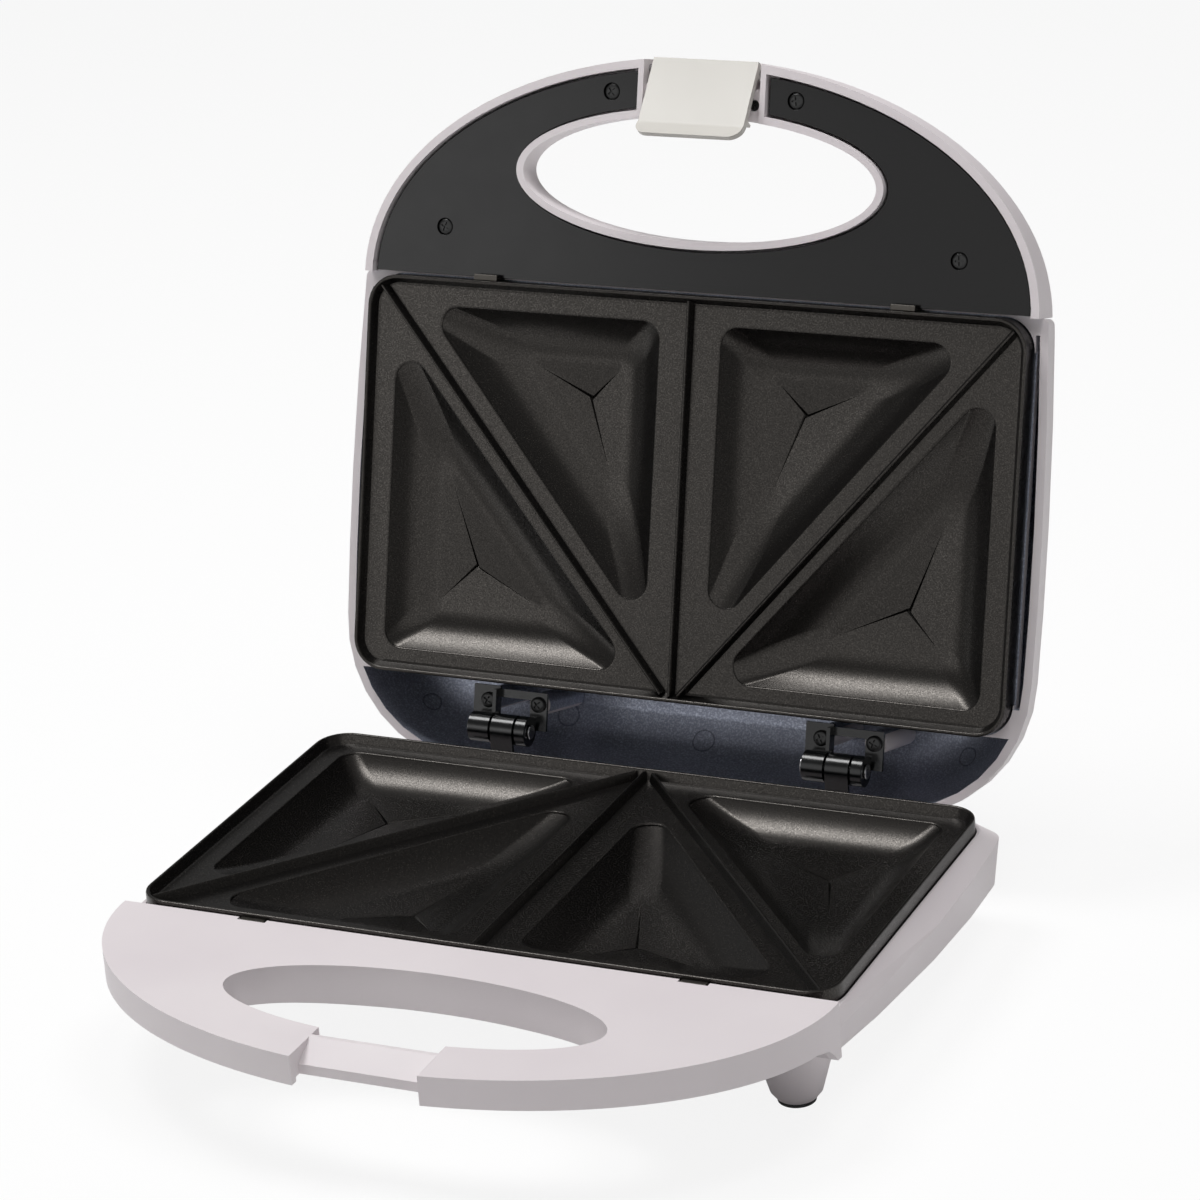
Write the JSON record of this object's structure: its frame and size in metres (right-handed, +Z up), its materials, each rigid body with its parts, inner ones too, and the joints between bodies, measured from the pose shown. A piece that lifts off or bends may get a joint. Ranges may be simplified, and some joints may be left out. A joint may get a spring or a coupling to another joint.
{
  "type": "sandwich toaster",
  "caption": "Countertop sandwich toaster, open: hinged lid with D-shaped handle and clip over a base with four triangular pockets, on conical feet.",
  "frame": {"origin": "middle of the open toaster's footprint box, on the plane its feet stand on", "axes": "+Z up, +X along the hinge to the toaster's right as seen from the handle side, +Y towards the hinge and the opened lid"},
  "size_m": [0.2334, 0.2844, 0.2446],
  "materials": {
    "white_abs": "satin moulded ABS, white with a faint lavender cast",
    "bright_steel": "zinc-plated steel",
    "black_abs": "fine-textured moulded ABS, black",
    "nonstick_aluminium": "die-cast aluminium with a speckled dark non-stick coat",
    "mica": "mica sheet",
    "steel_sheet": "plain sheet steel",
    "ceramic": "unglazed ceramic",
    "lead_silicone": "silicone insulation",
    "grommet_rubber": "moulded rubber",
    "foot_rubber": "moulded rubber",
    "black_steel": "pressed steel, satin black paint",
    "black_screw": "blackened steel",
    "gloss_black_abs": "glossy moulded ABS, black",
    "red_lens": "red translucent plastic",
    "green_lens": "green translucent plastic",
    "gloss_white_abs": "glossy moulded ABS, bright white"
  },
  "bodies": {
    "base": {"base_shell": "white_abs", "base_handle": "white_abs", "base_handle_screws": "bright_steel", "base_handle_cover": "black_abs", "base_cover_screws": "bright_steel", "lower_plate": "nonstick_aluminium", "lower_heater": "mica", "lower_clamp_plate": "steel_sheet", "lower_clamp_screws": "bright_steel", "lower_plate_clips": "bright_steel", "thermostat": "steel_sheet", "thermal_fuse": "steel_sheet", "terminal_block": "ceramic", "base_leads": "lead_silicone", "cord_inlet": "grommet_rubber", "foot_pad_1": "foot_rubber", "foot_pad_2": "foot_rubber", "foot_pad_3": "foot_rubber", "foot_pad_4": "foot_rubber", "base_hinge_left": "black_steel", "base_hinge_right": "black_steel", "base_hinge_screws": "black_screw"},
    "lid": {"lid_shell": "white_abs", "lid_handle_cover": "gloss_black_abs", "lid_cover_screws": "black_screw", "upper_plate": "nonstick_aluminium", "upper_heater": "mica", "upper_clamp_plate": "steel_sheet", "upper_clamp_screws": "bright_steel", "upper_plate_clips": "bright_steel", "lid_hinge_left": "black_steel", "lid_hinge_right": "black_steel", "lid_hinge_screws": "black_screw", "hinge_pin_left": "bright_steel", "hinge_pin_right": "bright_steel", "power_light": "red_lens", "ready_light": "green_lens", "lid_leads": "lead_silicone", "latch_pin": "bright_steel"},
    "latch": {"latch": "gloss_white_abs"}
  },
  "joints": [
    {"name": "lid_hinge", "type": "hinge", "parent": "base", "child": "lid", "pos_m": [0, 0.07408, 0.0404], "axis": [1, 0, 0], "range_deg": [0, 106.1]},
    {"name": "latch_pivot", "type": "hinge", "parent": "lid", "child": "latch", "pos_m": [0, 0.13934, 0.24055], "axis": [1, 0, 0], "range_deg": [-70, 0]}
  ]
}
